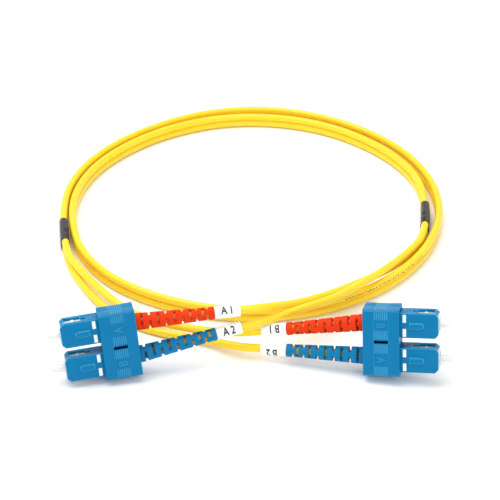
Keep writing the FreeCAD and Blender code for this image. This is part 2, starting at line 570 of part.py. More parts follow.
for end in pieces:
    pieces[end].append((clipHalf("clip_key_half_" + end, True), Placement()))
    pieces[end].append((clipHalf("clip_back_half_" + end, False), Placement()))
doc.recompute()


def standing(end, height):
    """Placement of a whole twin plug, with the middle of its clip at the given height."""
    stand = ENDS[end]
    turn = (Rotation(Vector(0, 0, 1), stand["turn"]) * Rotation(Vector(0, 1, 0), stand["nose"])
            * Rotation(Vector(1, 0, 0), stand["lean"]) * Rotation(Vector(0, 1, 0), stand["flip"]))
    middle = Placement(Vector(size("clipLong") / 2, 0, 0), Rotation())
    return Placement(Vector(stand["spot"][0], stand["spot"][1], height), turn) * middle


stands = {}
for end, items in pieces.items():
    # the lowest corner of the clip and the grips touches the table
    low = min((standing(end, 0) * local * corner.Point).z for piece, local in items
              if piece.Label.startswith(("clip", "grip")) for corner in piece.Shape.Vertexes)
    stands[end] = standing(end, -low)
    for piece, local in items:
        piece.Placement = stands[end] * local


def roundedPath(points):
    """Straight runs joined by tangent arcs, each as large as the shorter of its two runs allows."""
    edges, radii, start = [], [], points[0]
    for before, corner, after in zip(points, points[1:], points[2:]):
        back, ahead = (before - corner), (after - corner)
        run = 0.45 * min(back.Length, ahead.Length)
        back.normalize()
        ahead.normalize()
        turn = math.pi - back.getAngle(ahead)
        radius = run / math.tan(turn / 2)
        radii.append(radius)
        bisector = (back + ahead).normalize()
        inside = corner + bisector * (radius / math.cos(turn / 2) - radius)
        edges.append(Part.LineSegment(start, corner + back * run).toShape())
        edges.append(Part.Arc(corner + back * run, inside, corner + ahead * run).toShape())
        start = corner + ahead * run
    edges.append(Part.LineSegment(start, points[-1]).toShape())
    return Part.Wire(edges), radii


def addCord(name, points, section, area):
    """Sweep a section along a route, and compare the volume with section times length."""
    path, radii = roundedPath(points)
    solid = path.makePipeShell([section], True, False)
    feature = doc.addObject("Part::Feature", name)
    feature.Label = name
    feature.Shape = solid
    print("%s length %.1f mm, radii %.0f to %.0f mm, volume ratio %.4f" % (
        name, path.Length, min(radii), max(radii), solid.Volume / (area * path.Length)))
    return feature


def lobeSection(start, direction):
    return Part.Wire([Part.makeCircle(size("cordBore") / 2, start, direction)])


def twinSection(start, direction):
    """Figure-eight outline that stands on edge: two lobes and the web between them."""
    radius, half = size("cordBore") / 2, size("lobePitch") / 2
    web = size("webThick") / 2
    waist = half - math.sqrt(radius ** 2 - web ** 2)
    side = Vector(0, 0, 1).cross(direction).normalize()

    def at(across, up):
        return start + side * across + Vector(0, 0, up)

    edges = [Part.Arc(at(web, waist), at(0, half + radius), at(-web, waist)).toShape(),
             Part.LineSegment(at(-web, waist), at(-web, -waist)).toShape(),
             Part.Arc(at(-web, -waist), at(0, -half - radius), at(web, -waist)).toShape(),
             Part.LineSegment(at(web, -waist), at(web, waist)).toShape()]
    return Part.Wire(edges)


lieHeight = size("lobePitch") / 2 + size("cordBore") / 2 + size("fitGap") + size("splitWall")
# the middle of each split sleeve, and the direction from its legs to the twin cord
SPLITS = {"b": dict(spot=(73.7, 105.5), heading=(0.1, 1.0)), "a": dict(spot=(-76.8, 91.5), heading=(-0.146, 0.989))}
# the twin cord from sleeve to sleeve: one and a half loose turns
TWIN_ROUTE = [(75.8, 128.4), (69.0, 152.5), (55.8, 173.0), (36.8, 190.2), (13.5, 199.3), (-12.5, 199.5),
              (-37.0, 188.5), (-56.5, 170.5), (-70.3, 148.0), (-76.2, 122.5), (-74.3, 98.0), (-68.3, 75.0),
              (-53.7, 53.6), (-31.2, 38.5), (-5.3, 31.0), (21.5, 33.6), (45.7, 45.9), (64.8, 66.0),
              (76.6, 90.0), (81.2, 116.0), (78.3, 142.5), (68.0, 167.3), (50.6, 188.2), (28.0, 203.0),
              (2.0, 208.7), (-24.0, 203.0), (-46.5, 188.0), (-64.5, 168.0), (-76.0, 144.5), (-80.4, 117.0)]
# the legs after their straight stretch, and which lobe each one becomes in the sleeve
LEGS = {
    "a1": dict(sleeve="b", lobe=-1, route=[(17.0, 21.6, 15.0), (28.5, 32.3, 11.6), (40.0, 45.2, 8.2),
                                           (51.5, 59.0, 4.8), (62.3, 73.6, 2.4)]),
    "a2": dict(sleeve="b", lobe=1, route=[(18.3, 18.4, 14.7), (31.0, 28.6, 12.5), (42.5, 42.8, 10.2),
                                          (52.8, 57.0, 7.8), (63.0, 72.6, 5.8)]),
    "b1": dict(sleeve="a", lobe=1, route=[(-18.0, 19.5, 4.4), (-32.5, 27.0, 2.5), (-46.0, 33.6, 3.0),
                                          (-58.0, 46.8, 4.6), (-66.2, 59.4, 5.1)]),
    "b2": dict(sleeve="a", lobe=-1, route=[(-19.0, 18.0, 1.9), (-33.0, 21.8, 1.6), (-46.5, 29.2, 1.6),
                                           (-57.6, 41.2, 1.6), (-66.8, 57.2, 1.7)]),
}
LEG_RUN = 17.0
TWIN_RUN = 23.0
lobeArea = math.pi * size("cordBore") ** 2 / 4


def splitPoint(end, along, lobe=0):
    split = SPLITS[end]
    heading = Vector(split["heading"][0], split["heading"][1], 0).normalize()
    height = lieHeight + lobe * size("lobePitch") / 2
    return Vector(split["spot"][0], split["spot"][1], height) + heading * along


for plugName, leg in LEGS.items():
    axis = stands[PLUGS[plugName]["end"]] * bootPlacement(plugName)
    onset = size("bootPivot") - size("barrelEnd") - size("legStart")
    points = [axis * Vector(onset, 0, 0), axis * Vector(onset - size("legStraight"), 0, 0)]
    points += [Vector(*spot) for spot in leg["route"]]
    points += [splitPoint(leg["sleeve"], -LEG_RUN, leg["lobe"]), splitPoint(leg["sleeve"], 0, leg["lobe"])]
    addCord("leg_" + plugName, points, lobeSection(points[0], points[1] - points[0]), lobeArea)

points = [splitPoint("b", 0)] + [Vector(x, y, lieHeight) for x, y in TWIN_ROUTE] + [splitPoint("a", 0)]
twin = twinSection(points[0], points[1] - points[0])
addCord("twin_cord", points, twin, Part.Face(twin).Area)


def stadium(name, across, length, lobes):
    """Upright rounded bar: the outline of two touching lobes, drawn out along X."""
    members = []
    for label, side in (("Upper", 1), ("Lower", -1)):
        rod = doc.addObject("Part::Cylinder", name + label)
        rod.setExpression("Radius", "(%s) / 2" % across)
        rod.setExpression("Height", length)
        rod.Placement = Placement(Vector(0, 0, 0), Rotation(Vector(0, 1, 0), 90))
        rod.setExpression("Placement.Base.x", "-(%s) / 2" % length)
        rod.setExpression("Placement.Base.z", "%d * (%s) / 2" % (side, lobes))
        members.append(rod)
    bar = doc.addObject("Part::Box", name + "Bar")
    bar.setExpression("Length", length)
    bar.setExpression("Width", across)
    bar.setExpression("Height", lobes)
    bar.setExpression("Placement.Base.x", "-(%s) / 2" % length)
    bar.setExpression("Placement.Base.y", "-(%s) / 2" % across)
    bar.setExpression("Placement.Base.z", "-(%s) / 2" % lobes)
    whole = doc.addObject("Part::MultiFuse", name + "Whole")
    whole.Shapes = members + [bar]
    return whole


for end, split in SPLITS.items():
    name = "split_sleeve_" + end
    inner = "Sizes.cordBore + 2 * Sizes.fitGap"
    outside = stadium(name + "_out", inner + " + 2 * Sizes.splitWall", "Sizes.splitLong", "Sizes.lobePitch")
    inside = stadium(name + "_in", inner, "Sizes.splitLong + 2", "Sizes.lobePitch")
    sleeve = doc.addObject("Part::Cut", name)
    sleeve.Label = name
    sleeve.Base = outside
    sleeve.Tool = inside
    heading = math.degrees(math.atan2(split["heading"][1], split["heading"][0]))
    sleeve.Placement = Placement(splitPoint(end, 0), Rotation(Vector(0, 0, 1), heading))
doc.recompute()

NODES = ["%s_%s" % (label, plugName) for plugName in PLUGS for label in (
    "grip_sleeve", "plug_frame", "ferrule", "ferrule_flange", "spring", "rear_body", "crimp_ring", "dust_cap",
    "boot", "marker_sleeve", "leg")]
NODES += ["%s_%s" % (label, end) for end in ENDS for label in ("clip_key_half", "clip_back_half", "split_sleeve")]
NODES += ["twin_cord"]

for item in doc.Objects:
    if "Invalid" in item.State or "Error" in item.State:
        raise RuntimeError("%s did not recompute: %s" % (item.Name, item.State))
os.makedirs("parts", exist_ok=True)
for node in NODES:
    shape = doc.getObjectsByLabel(node)[0].Shape
    if shape.isNull() or not shape.isValid() or len(shape.Solids) != 1:
        raise RuntimeError("%s is not one valid solid" % node)
    shape.exportStep(os.path.join("parts", node + ".step"))
print("%d nodes written" % len(NODES))
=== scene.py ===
import json
import math

import bpy
import bmesh
from mathutils import Matrix, Vector, noise


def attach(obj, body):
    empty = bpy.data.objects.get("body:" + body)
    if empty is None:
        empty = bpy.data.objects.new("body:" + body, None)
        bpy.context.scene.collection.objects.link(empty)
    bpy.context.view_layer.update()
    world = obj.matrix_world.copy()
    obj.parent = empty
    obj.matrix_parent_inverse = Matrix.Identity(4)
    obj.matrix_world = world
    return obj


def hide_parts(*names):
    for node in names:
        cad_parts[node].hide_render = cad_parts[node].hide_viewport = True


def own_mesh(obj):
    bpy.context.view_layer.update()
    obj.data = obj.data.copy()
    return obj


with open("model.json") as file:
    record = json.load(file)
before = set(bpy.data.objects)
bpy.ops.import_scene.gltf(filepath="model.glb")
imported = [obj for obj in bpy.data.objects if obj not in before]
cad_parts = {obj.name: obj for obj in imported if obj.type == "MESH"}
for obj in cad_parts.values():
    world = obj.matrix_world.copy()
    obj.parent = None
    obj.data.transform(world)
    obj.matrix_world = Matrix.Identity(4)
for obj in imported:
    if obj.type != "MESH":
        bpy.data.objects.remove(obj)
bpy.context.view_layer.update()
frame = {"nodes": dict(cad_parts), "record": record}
nodes = frame["nodes"]
mounts = {mount["name"]: mount for mount in frame["record"]["mounts"]}
mm = 0.001
print("frame loaded:", len(nodes), "nodes")


def hexColour(code):
    channels = [int(code[i:i + 2], 16) / 255 for i in (1, 3, 5)]
    linear = [c / 12.92 if c <= 0.04045 else ((c + 0.055) / 1.055) ** 2.4 for c in channels]
    return (*linear, 1.0)


def setInputs(tree, node, inputs):
    # a value is either a socket to link from or what the node's own socket is set to
    for key, value in inputs.items():
        if isinstance(value, bpy.types.NodeSocket):
            tree.links.new(value, node.inputs[key])
        else:
            node.inputs[key].default_value = value


def addNode(tree, kind, inputs=None, **settings):
    node = tree.nodes.new(kind)
    for key, value in settings.items():
        setattr(node, key, value)
    setInputs(tree, node, inputs or {})
    return node


def startMaterial(name):
    material = bpy.data.materials.new(name)
    material.use_nodes = True
    tree = material.node_tree
    tree.nodes.clear()
    shader = addNode(tree, "ShaderNodeBsdfPrincipled")
    addNode(tree, "ShaderNodeOutputMaterial", {"Surface": shader.outputs["BSDF"]})
    return material, tree, shader


def placeObject(name, data):
    placed = bpy.data.objects.new(name, data)
    bpy.context.scene.collection.objects.link(placed)
    return placed


def meshObject(name, mesh, material, smoothAngle=None):
    piece = placeObject(name, mesh)
    mesh.materials.clear()
    mesh.materials.append(material)
    if smoothAngle is not None:
        mesh.shade_smooth()
        mesh.set_sharp_from_angle(angle=math.radians(smoothAngle))
    return piece


def plainMesh(piece):
    # the evaluated shape as a mesh of its own, so no modifier is left on the piece
    bpy.context.view_layer.update()
    evaluated = piece.evaluated_get(bpy.context.evaluated_depsgraph_get())
    mesh = bpy.data.meshes.new_from_object(evaluated)
    mesh.name = piece.name
    return mesh


# The colour sockets of a Mix node share their names with its float ones, so they go by index: 0 factor,
# 6 and 7 the two colours, and 2 the colour output.

plasticLook = {
    "grainMm": 0.35,  # spark-eroded mould texture, drawn coarse enough to show
    "grainDepthMm": 0.012,
    "mottleMm": 9.0,  # slow colour drift of the pigment
    "ior": 1.5,
    "sheen": 0.14,  # the eroded skin takes most of the gloss off
    "spread": (1.0, 0.6, 0.4),
    "spreadMm": 0.8,
}


def mouldedPlastic(name, colour, shade, roughness, scatter=0.0):
    # moulded ABS or PBT: even colour, satin skin with a fine mould texture
    look = plasticLook
    material, tree, shader = startMaterial(name)
    place = addNode(tree, "ShaderNodeTexCoord").outputs["Object"]
    mottle = addNode(tree, "ShaderNodeTexNoise", {"Vector": place, "Scale": 1 / (look["mottleMm"] * mm),
                                                  "Detail": 2.0})
    tint = addNode(tree, "ShaderNodeMix", {0: mottle.outputs["Fac"], 6: hexColour(colour), 7: hexColour(shade)},
                   data_type="RGBA")
    grain = addNode(tree, "ShaderNodeTexNoise", {"Vector": place, "Scale": 1 / (look["grainMm"] * mm),
                                                 "Detail": 1.0})
    bump = addNode(tree, "ShaderNodeBump", {"Height": grain.outputs["Fac"],
                                            "Distance": look["grainDepthMm"] * mm})
    setInputs(tree, shader, {"Base Color": tint.outputs[2], "Normal": bump.outputs["Normal"],
                             "Roughness": roughness, "IOR": look["ior"], "Specular IOR Level": look["sheen"]})
    if scatter:
        setInputs(tree, shader, {"Subsurface Weight": scatter, "Subsurface Radius": look["spread"],
                                 "Subsurface Scale": look["spreadMm"] * mm})
    return material


metalLook = {"ringDepthMm": 0.004, "wavePeriod": 0.3}  # at scale 1 a wave texture repeats about every 0.3


def turnedMetal(name, colour, roughness, ringMm):
    # turned on a lathe and plated: fine rings round the axis, soft highlights
    material, tree, shader = startMaterial(name)
    place = addNode(tree, "ShaderNodeTexCoord").outputs["Object"]
    rings = addNode(tree, "ShaderNodeTexWave", {"Vector": place, "Scale": metalLook["wavePeriod"] / (ringMm * mm),
                                                "Distortion": 1.0, "Detail": 1.0}, bands_direction="X")
    bump = addNode(tree, "ShaderNodeBump", {"Height": rings.outputs["Fac"],
                                            "Distance": metalLook["ringDepthMm"] * mm})
    setInputs(tree, shader, {"Base Color": hexColour(colour), "Metallic": 1.0, "Roughness": roughness,
                             "Normal": bump.outputs["Normal"]})
    return material


jacketLook = {
    "colour": "#FFDC22",
    "shade": "#FFD416",
    "driftMm": 14.0,  # slow drift of the extruded colour
    "peelMm": 0.8,  # faint orange peel of the extruded skin
    "peelDepthMm": 0.015,
    "roughness": 0.36,
    "ior": 1.5,
    "scatter": 0.45,
    "spread": (1.0, 0.55, 0.08),  # the light that comes through is warm
    "spreadMm": 1.4,
    "bootMm": 27.9,  # cord end to the boot's tip
}
printMarks = {
    "colour": "#6E4210",
    "lowMm": 1.7,  # the marks' lower edge, round the cord from its side
    "tallMm": 0.8,
    "startMm": 422.0,  # from the split sleeve of the b end
    "repeatMm": 400.0,
    "groupMm": 46.0,
    "strokeMm": 0.55,
    "cover": 0.52,
    "strength": 0.9,
}


def extrudedJacket(name, printed=False, paintedBootShade=None):
    # extruded PVC: bright colour, soft gloss, faint orange peel; ink on the twin cord, painted shade inside the
    # boots
    look, marks = jacketLook, printMarks
    material, tree, shader = startMaterial(name)
    along = addNode(tree, "ShaderNodeUVMap", uv_map="alongAround").outputs["UV"]
    split = addNode(tree, "ShaderNodeSeparateXYZ", {"Vector": along}).outputs
    drift = addNode(tree, "ShaderNodeTexNoise", {"Vector": along, "Scale": 1 / look["driftMm"], "Detail": 1.0})
    colour = addNode(tree, "ShaderNodeMix", {0: drift.outputs["Fac"], 6: hexColour(look["colour"]),
                                             7: hexColour(look["shade"])}, data_type="RGBA").outputs[2]
    if printed:
        # a band round the cord, groups of marks along it, and broken strokes within both
        halfTall, halfGroup = marks["tallMm"] / 2, marks["groupMm"] / 2
        band = addNode(tree, "ShaderNodeMath", {0: split["Y"], 1: marks["lowMm"] + halfTall, 2: halfTall},
                       operation="COMPARE")
        run = addNode(tree, "ShaderNodeMath", {0: split["X"], 1: marks["startMm"]}, operation="SUBTRACT")
        phase = addNode(tree, "ShaderNodeMath", {0: run.outputs[0], 1: marks["repeatMm"]},
                        operation="FLOORED_MODULO")
        group = addNode(tree, "ShaderNodeMath", {0: phase.outputs[0], 1: halfGroup, 2: halfGroup},
                        operation="COMPARE")
        strokes = addNode(tree, "ShaderNodeTexNoise", {"Vector": along, "Scale": 1 / marks["strokeMm"],
                                                       "Detail": 0.0})
        inked = addNode(tree, "ShaderNodeMath", {0: strokes.outputs["Fac"], 1: marks["cover"]},
                        operation="GREATER_THAN")
        amount = marks["strength"]
        for part in (band, group, inked):
            amount = addNode(tree, "ShaderNodeMath", {0: part.outputs[0], 1: amount},
                             operation="MULTIPLY").outputs[0]
        colour = addNode(tree, "ShaderNodeMix", {0: amount, 6: colour, 7: hexColour(marks["colour"])},
                         data_type="RGBA").outputs[2]
    if paintedBootShade:
        # painted shade and light from the boot: the stretch under the boot is mixed towards a set colour, most at
        # the clip end
        fade = addNode(tree, "ShaderNodeMapRange", {"Value": split["X"], "From Max": look["bootMm"],
                                                    "To Min": 1.0, "To Max": paintedBootShade["tip"]})
        under = addNode(tree, "ShaderNodeMath", {0: split["X"], 1: look["bootMm"]}, operation="LESS_THAN")
        amount = addNode(tree, "ShaderNodeMath", {0: fade.outputs["Result"], 1: under.outputs[0]},
                         operation="MULTIPLY")
        colour = addNode(tree, "ShaderNodeMix", {0: amount.outputs[0], 6: colour,
                                                 7: hexColour(paintedBootShade["colour"])}, data_type="RGBA").outputs[2]
    peel = addNode(tree, "ShaderNodeTexNoise", {"Vector": along, "Scale": 1 / look["peelMm"], "Detail": 1.0})
    bump = addNode(tree, "ShaderNodeBump", {"Height": peel.outputs["Fac"],
                                            "Distance": look["peelDepthMm"] * mm})
    setInputs(tree, shader, {"Base Color": colour, "Normal": bump.outputs["Normal"],
                             "Roughness": look["roughness"], "IOR": look["ior"],
                             "Subsurface Weight": look["scatter"], "Subsurface Radius": look["spread"],
                             "Subsurface Scale": look["spreadMm"] * mm})
    return material


capLook = {
    "colour": "#F4F6F4",
    "roughness": 0.3,
    "ior": 1.45,
    "hazeMm": 1.5,
    "hazeDepthMm": 0.02,
    "turnedAway": 0.35,
    "faceOn": 0.16,  # share of the milky body where a wall faces the eye
    "edgeOn": 0.6,  # and where it is seen along its length, so the cap shows its outline
}


def clearCap(name):
    # soft polyethylene: thin, milky and mostly see-through, with a dull wax-like skin
    look = capLook
    material, tree, skin = startMaterial(name)
    place = addNode(tree, "ShaderNodeTexCoord").outputs["Object"]
    haze = addNode(tree, "ShaderNodeTexNoise", {"Vector": place, "Scale": 1 / (look["hazeMm"] * mm),
                                                "Detail": 1.0})
    bump = addNode(tree, "ShaderNodeBump", {"Height": haze.outputs["Fac"],
                                            "Distance": look["hazeDepthMm"] * mm})
    setInputs(tree, skin, {"Base Color": hexColour(look["colour"]), "Roughness": look["roughness"],
                           "IOR": look["ior"], "Normal": bump.outputs["Normal"]})
    seeThrough = addNode(tree, "ShaderNodeBsdfTransparent")
    rim = addNode(tree, "ShaderNodeLayerWeight", {"Blend": look["turnedAway"]})
    body = addNode(tree, "ShaderNodeMapRange", {"Value": rim.outputs["Facing"], "To Min": look["faceOn"],
                                                "To Max": look["edgeOn"]})
    mixed = addNode(tree, "ShaderNodeMixShader", {0: body.outputs["Result"], 1: seeThrough.outputs[0],
                                                  2: skin.outputs[0]})
    setInputs(tree, tree.nodes["Material Output"], {"Surface": mixed.outputs[0]})
    return material


shrinkLook = {"colour": "#2E3134", "roughness": 0.34, "ringMm": 1.2, "ringDepthMm": 0.06}


def shrinkTube(name):
    # heat-shrunk polyolefin: dark, half gloss, with faint rings where it drew in
    material, tree, shader = startMaterial(name)
    along = addNode(tree, "ShaderNodeUVMap", uv_map="alongAround").outputs["UV"]
    split = addNode(tree, "ShaderNodeSeparateXYZ", {"Vector": along})
    reach = addNode(tree, "ShaderNodeCombineXYZ", {"X": split.outputs["X"]})
    rings = addNode(tree, "ShaderNodeTexNoise", {"Vector": reach.outputs["Vector"],
                                                 "Scale": 1 / shrinkLook["ringMm"], "Detail": 2.0})
    bump = addNode(tree, "ShaderNodeBump", {"Height": rings.outputs["Fac"],
                                            "Distance": shrinkLook["ringDepthMm"] * mm})
    setInputs(tree, shader, {"Base Color": hexColour(shrinkLook["colour"]), "Normal": bump.outputs["Normal"],
                             "Roughness": shrinkLook["roughness"]})
    return material


def plainFinish(name, colour, roughness, grainMm, depthMm):
    # even coating or ink: one colour, told apart by its sheen and grain
    material, tree, shader = startMaterial(name)
    place = addNode(tree, "ShaderNodeTexCoord").outputs["Object"]
    grain = addNode(tree, "ShaderNodeTexNoise", {"Vector": place, "Scale": 1 / (grainMm * mm), "Detail": 2.0})
    bump = addNode(tree, "ShaderNodeBump", {"Height": grain.outputs["Fac"], "Distance": depthMm * mm})
    setInputs(tree, shader, {"Base Color": hexColour(colour), "Roughness": roughness,
                             "Normal": bump.outputs["Normal"]})
    return material


finishes = {
    "grip": mouldedPlastic("bluePbtGrip", "#007AAE", "#0074A7", 0.36),
    "clip": mouldedPlastic("bluePbtClip", "#007AAE", "#0074A7", 0.4),
    "edge": mouldedPlastic("bluePbtPaintedEdgeHighlight", "#48ACD6", "#40A6D2", 0.3),  # painted highlight: rounded edges, finger groove walls and finger ribs drawn lighter, as if catching the light
    "paintedSlotShade": mouldedPlastic("bluePbtInShadow", "#02263A", "#012233", 0.6),  # painted shade: the latch slot drawn dark down to its floor
    "letter": mouldedPlastic("bluePbtRaisedPaintedLight", "#2A96C8", "#2491C4", 0.32),  # painted highlight: the raised letters drawn lighter than the clip, in place of the light on their edges
    "frame": mouldedPlastic("whitePbtFrame", "#EDEFEC", "#E4E8E6", 0.4, scatter=0.1),
    "bootRed": mouldedPlastic("redElastomer", "#E83A02", "#DE3400", 0.48, scatter=0.15),
    "bootBlue": mouldedPlastic("blueElastomer", "#007CB0", "#0074A6", 0.48),
    "ceramic": plainFinish("polishedZirconia", "#FAFAF7", 0.12, 0.8, 0.001),
    "nickel": turnedMetal("turnedNickelPlate", "#C9C6BE", 0.28, 0.25),
    "aluminium": turnedMetal("crimpedAluminium", "#C8CACC", 0.36, 0.4),
    "steel": turnedMetal("drawnSpringSteel", "#A9ACAE", 0.3, 0.3),
    "cap": clearCap("softPolyethyleneCap"),
    "marker": plainFinish("whitePrintTube", "#F7F7F4", 0.42, 1.2, 0.02),
    "ink": plainFinish("blackInk", "#1A1A1C", 0.5, 0.4, 0.002),
    "paint": plainFinish("whitePadInk", "#F4F6F6", 0.5, 0.4, 0.004),
    # painted shade in the boots: red-orange under the red boots as painted reflected light from them, near black
    # under the blue ones
    "jacketRed": extrudedJacket("yellowPvcPaintedRedBootShade", paintedBootShade={"colour": "#D83408", "tip": 0.7}),
    "jacketBlue": extrudedJacket("yellowPvcPaintedBlueBootShade", paintedBootShade={"colour": "#0A1A20", "tip": 0.4}),
    "jacketPrinted": extrudedJacket("yellowPvcPrinted", printed=True),
    "shrink": shrinkTube("darkShrinkTube"),
}
print("materials made:", len(finishes))

plugSizes = {"nose": 13.6, "pivot": 10.8, "cordStart": 13.25, "straight": 46.75}
# degrees: drop tips the boot towards its twin, sway tips it back, raised turns the label round its marker
plugs = {
    "a1": dict(drop=3.2, sway=0.0, boot="bootRed", label="A 1", raised=20, along=0.49),
    "a2": dict(drop=5.6, sway=0.0, boot="bootBlue", label="A 2", raised=0, along=0.49),
    "b1": dict(drop=7.3, sway=1.5, boot="bootRed", label="B 1", raised=10, along=0.47),
    "b2": dict(drop=1.9, sway=0.0, boot="bootBlue", label="B 2", raised=-40, along=0.55),
}


def pairFrame(end):
    # X along the plugs to the nose, Y away from the key side, Z across the pair, zero at the clip's nose side
    first, second = mounts["plug_%s1" % end], mounts["plug_%s2" % end]
    along = Vector(first["axis"]).normalized()
    away = Vector(mounts["clip_back_" + end]["axis"]).normalized()
    across = along.cross(away).normalized()
    away = across.cross(along)
    middle = (Vector(first["pos_m"]) + Vector(second["pos_m"])) / 2 - along * plugSizes["nose"] * mm
    place = Matrix((along, away, across)).transposed().to_4x4()
    place.translation = middle
    return place


pairs = {end: pairFrame(end) for end in "ab"}


def plugFrame(plugName):
    place = pairs[plugName[0]].copy()
    across = Vector(mounts["plug_" + plugName]["pos_m"]) - place.translation
    place.translation += place.col[2].xyz * across.dot(place.col[2].xyz)
    return place


def plugSide(plugName):
    pair = pairs[plugName[0]]
    return 1 if (plugFrame(plugName).translation - pair.translation).dot(pair.col[2].xyz) > 0 else -1


def bootFrame(plugName):
    # the boot leaves the plug's axis at the pivot
    plug = plugs[plugName]
    tilt = (Matrix.Rotation(math.radians(-plug["sway"]), 4, "Z")
            @ Matrix.Rotation(math.radians(-plugSide(plugName) * plug["drop"]), 4, "Y"))
    return plugFrame(plugName) @ Matrix.Translation((-plugSizes["pivot"] * mm, 0, 0)) @ tilt


cameraSetup = {"target": (-0.13, 80.03, 2.8), "elevation": 31.0, "distance": 589.1, "lens": 104.4, "film": 36.0}
lightTarget = (0, 0.05, 0)
lights = {
    "softTop": dict(place=(-0.25, 0.15, 0.9), width=0.9, energy=6.2),
    "softFront": dict(place=(0.35, -0.75, 0.65), width=0.5, energy=1.6),
}
studio = {"world": 0.76, "tableReach": 3.0, "tableTop": -0.0001}
viewRise = math.radians(cameraSetup["elevation"])
towardsView = Vector((0, -math.cos(viewRise), math.sin(viewRise)))


def addCamera(setup):
    data = bpy.data.cameras.new("photoCamera")
    data.lens = setup["lens"]
    data.sensor_width = setup["film"]
    data.clip_start = 0.01
    camera = placeObject("photoCamera", data)
    camera.location = (Vector(setup["target"]) + towardsView * setup["distance"]) * mm
    camera.rotation_euler = (math.pi / 2 - viewRise, 0, 0)
    bpy.context.scene.camera = camera


def addLight(name, place, width, energy):
    data = bpy.data.lights.new(name, "AREA")
    data.shape = "DISK"
    data.size = width
    data.energy = energy
    light = placeObject(name, data)
    light.location = place
    light.rotation_euler = (Vector(lightTarget) - Vector(place)).to_track_quat("-Z", "Y").to_euler()


def addTable(reach, top):
    mesh = bpy.data.meshes.new("table")
    mesh.from_pydata([(-reach, -reach, top), (reach, -reach, top), (reach, reach, top), (-reach, reach, top)], [],
                     [(0, 1, 2, 3)])
    meshObject("table", mesh, plainFinish("whitePaperSweep", "#FFFFFF", 0.9, 2.0, 0.001))


addCamera(cameraSetup)
for name, light in lights.items():
    addLight(name, **light)
addTable(studio["tableReach"], studio["tableTop"])
world = bpy.data.worlds.new("studio")
world.use_nodes = True
setInputs(world.node_tree, world.node_tree.nodes["Background"], {"Color": hexColour("#FFFFFF"),
                                                                 "Strength": studio["world"]})
bpy.context.scene.world = world
bpy.context.scene.view_settings.view_transform = "Standard"
print("stage set")

cordSizes = {"lobe": 3.0, "lobePitch": 3.2, "across": 6.2, "web": 0.7, "lie": 3.45, "legRun": 17.0}
cordMesh = {"legSteps": 26, "twinSteps": 30, "round": 32, "lobeRound": 20, "endRound": 12}
tornWeb = {"proud": 0.16, "usual": 0.65, "vary": 0.35, "perMm": 0.9}  # the fin that the split leaves, ragged
splits = {
    "a": dict(spot=(-76.8, 91.5), heading=(-0.146, 0.989)),
    "b": dict(spot=(73.7, 105.5), heading=(0.1, 1.0)),
}
twinRoute = [
    (75.8, 128.4), (69.0, 152.5), (55.8, 173.0), (36.8, 190.2), (13.5, 199.3), (-12.5, 199.5),
    (-37.0, 188.5), (-56.5, 170.5), (-70.3, 148.0), (-76.2, 122.5), (-74.3, 98.0), (-68.3, 75.0),
    (-53.7, 53.6), (-31.2, 38.5), (-5.3, 31.0), (21.5, 33.6), (45.7, 45.9), (64.8, 66.0),
    (76.6, 90.0), (81.2, 116.0), (78.3, 142.5), (68.0, 167.3), (50.6, 188.2), (28.0, 203.0),
    (2.0, 208.7), (-24.0, 203.0), (-46.5, 188.0), (-64.5, 168.0), (-76.0, 144.5), (-80.4, 117.0)]
# each leg joins a lobe of the twin cord, 1 above and -1 below, in the sleeve of the other end
legs = {
    "a1": dict(sleeve="b", lobe=-1, fin=140.0, jacket="jacketRed", route=[
        (17.0, 21.6, 15.0), (28.5, 32.3, 11.6), (40.0, 45.2, 8.2), (51.5, 59.0, 4.8), (62.3, 73.6, 2.4)]),
    "a2": dict(sleeve="b", lobe=1, fin=-60.0, jacket="jacketBlue", route=[
        (18.3, 18.4, 14.7), (31.0, 28.6, 12.5), (42.5, 42.8, 10.2), (52.8, 57.0, 7.8), (63.0, 72.6, 5.8)]),
    "b1": dict(sleeve="a", lobe=1, fin=60.0, jacket="jacketRed", route=[
        (-18.0, 19.5, 4.4), (-32.5, 27.0, 2.5), (-46.0, 33.6, 3.0), (-58.0, 46.8, 4.6), (-66.2, 59.4, 5.1)]),
    "b2": dict(sleeve="a", lobe=-1, fin=-20.0, jacket="jacketBlue", route=[
        (-19.0, 18.0, 1.9), (-33.0, 21.8, 1.6), (-46.5, 29.2, 1.6), (-57.6, 41.2, 1.6), (-66.8, 57.2, 1.7)]),
}
markerSizes = {"start": 30.6, "long": 9.3}


def splitPoint(end, along, lobe=0):
    heading = Vector((*splits[end]["heading"], 0)).normalized()
    spot = Vector((*splits[end]["spot"], cordSizes["lie"] + lobe * cordSizes["lobePitch"] / 2))
    return (spot + heading * along) * mm


def followSpline(name, controls, steps):
    # points along a NURBS spline through the route, from the curve's own evaluated line
    curve = bpy.data.curves.new(name, "CURVE")
    curve.dimensions = "3D"
    spline = curve.splines.new("NURBS")
    spline.points.add(len(controls) - 1)
    for point, place in zip(spline.points, controls):
        point.co = (*place, 1)
    spline.order_u = 3
    spline.use_endpoint_u = True
    spline.resolution_u = steps
    line = placeObject(name, curve)
    mesh = plainMesh(line)
    points = [vertex.co.copy() for vertex in mesh.vertices]
    bpy.data.objects.remove(line)
    bpy.data.curves.remove(curve)
    bpy.data.meshes.remove(mesh)
    return points


def pathLength(points):
    return sum((b - a).length for a, b in zip(points, points[1:]))


